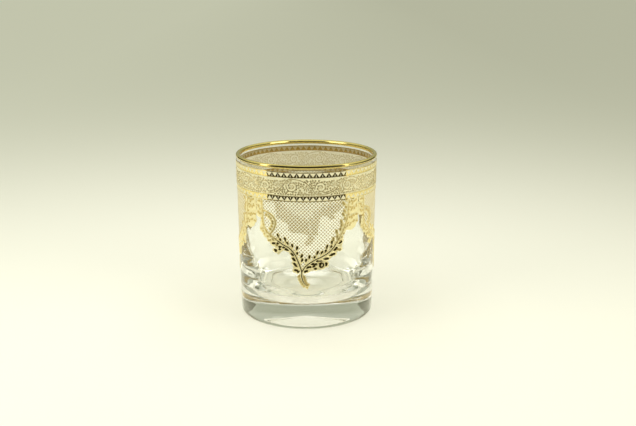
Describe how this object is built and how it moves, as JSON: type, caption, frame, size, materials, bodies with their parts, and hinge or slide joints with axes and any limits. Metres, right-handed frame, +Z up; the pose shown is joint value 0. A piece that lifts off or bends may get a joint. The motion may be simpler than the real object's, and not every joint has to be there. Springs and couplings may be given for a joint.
{
  "type": "whisky tumbler",
  "caption": "Clear straight-sided whisky tumbler with a heavy base, gilt rim, gold dogtooth borders, scroll frieze and hanging lattice pendants in leaf frames.",
  "frame": {"origin": "centre of the foot, on the plane that the glass stands on", "axes": "+Z up along the glass's axis; -Y is the side with a pendant facing forward; +X to the right of it"},
  "size_m": [0.0828, 0.0828, 0.0962],
  "materials": {
    "clear_glass": "fire polished, clear",
    "polished_gold": "bright polished gold",
    "matt_gold": "matt pale gold on an etched ground",
    "leaf_gold": "satin gold with bright leaves"
  },
  "bodies": {
    "root": {"glass_body": "clear_glass", "rim_gilding": "polished_gold", "upper_border": "polished_gold", "scroll_frieze": "matt_gold", "lower_border": "polished_gold", "lattice_1": "matt_gold", "lattice_2": "matt_gold", "lattice_3": "matt_gold", "lattice_4": "matt_gold", "leaf_border_1": "leaf_gold", "leaf_border_2": "leaf_gold", "leaf_border_3": "leaf_gold", "leaf_border_4": "leaf_gold"}
  },
  "joints": []
}
